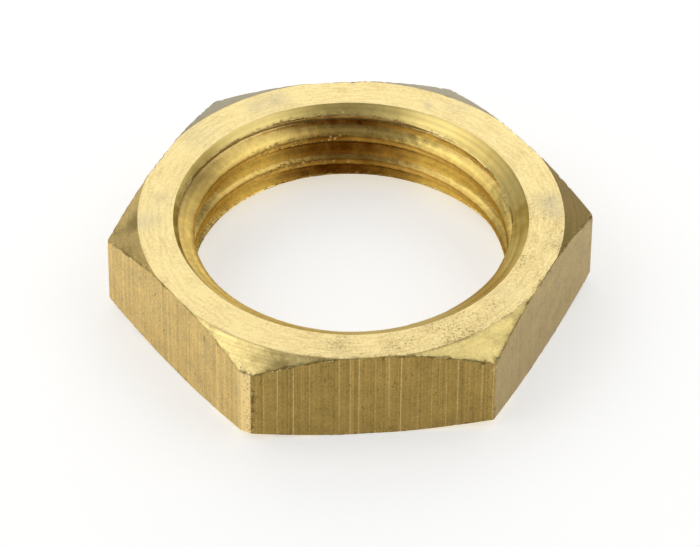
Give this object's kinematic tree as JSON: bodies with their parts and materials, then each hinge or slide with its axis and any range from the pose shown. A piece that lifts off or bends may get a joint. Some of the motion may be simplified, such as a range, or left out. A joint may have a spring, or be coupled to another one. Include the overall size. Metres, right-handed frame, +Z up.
{
  "type": "pipe back nut",
  "caption": "Thin hexagon back nut in brass with a tapped parallel pipe thread, chamfered corners and countersunk bore, for locking a threaded pipe tail or fitting.",
  "frame": {"origin": "middle of the bore at the seat face, the flat face with the shallower corner chamfer, which the nut lies on", "axes": "+Z up the bore towards the other face, +X through a corner of the hexagon, +Y square to a flat"},
  "size_m": [0.0292, 0.0254, 0.006],
  "materials": {
    "brass": "satin"
  },
  "bodies": {
    "root": {"back_nut": "brass"}
  },
  "joints": []
}
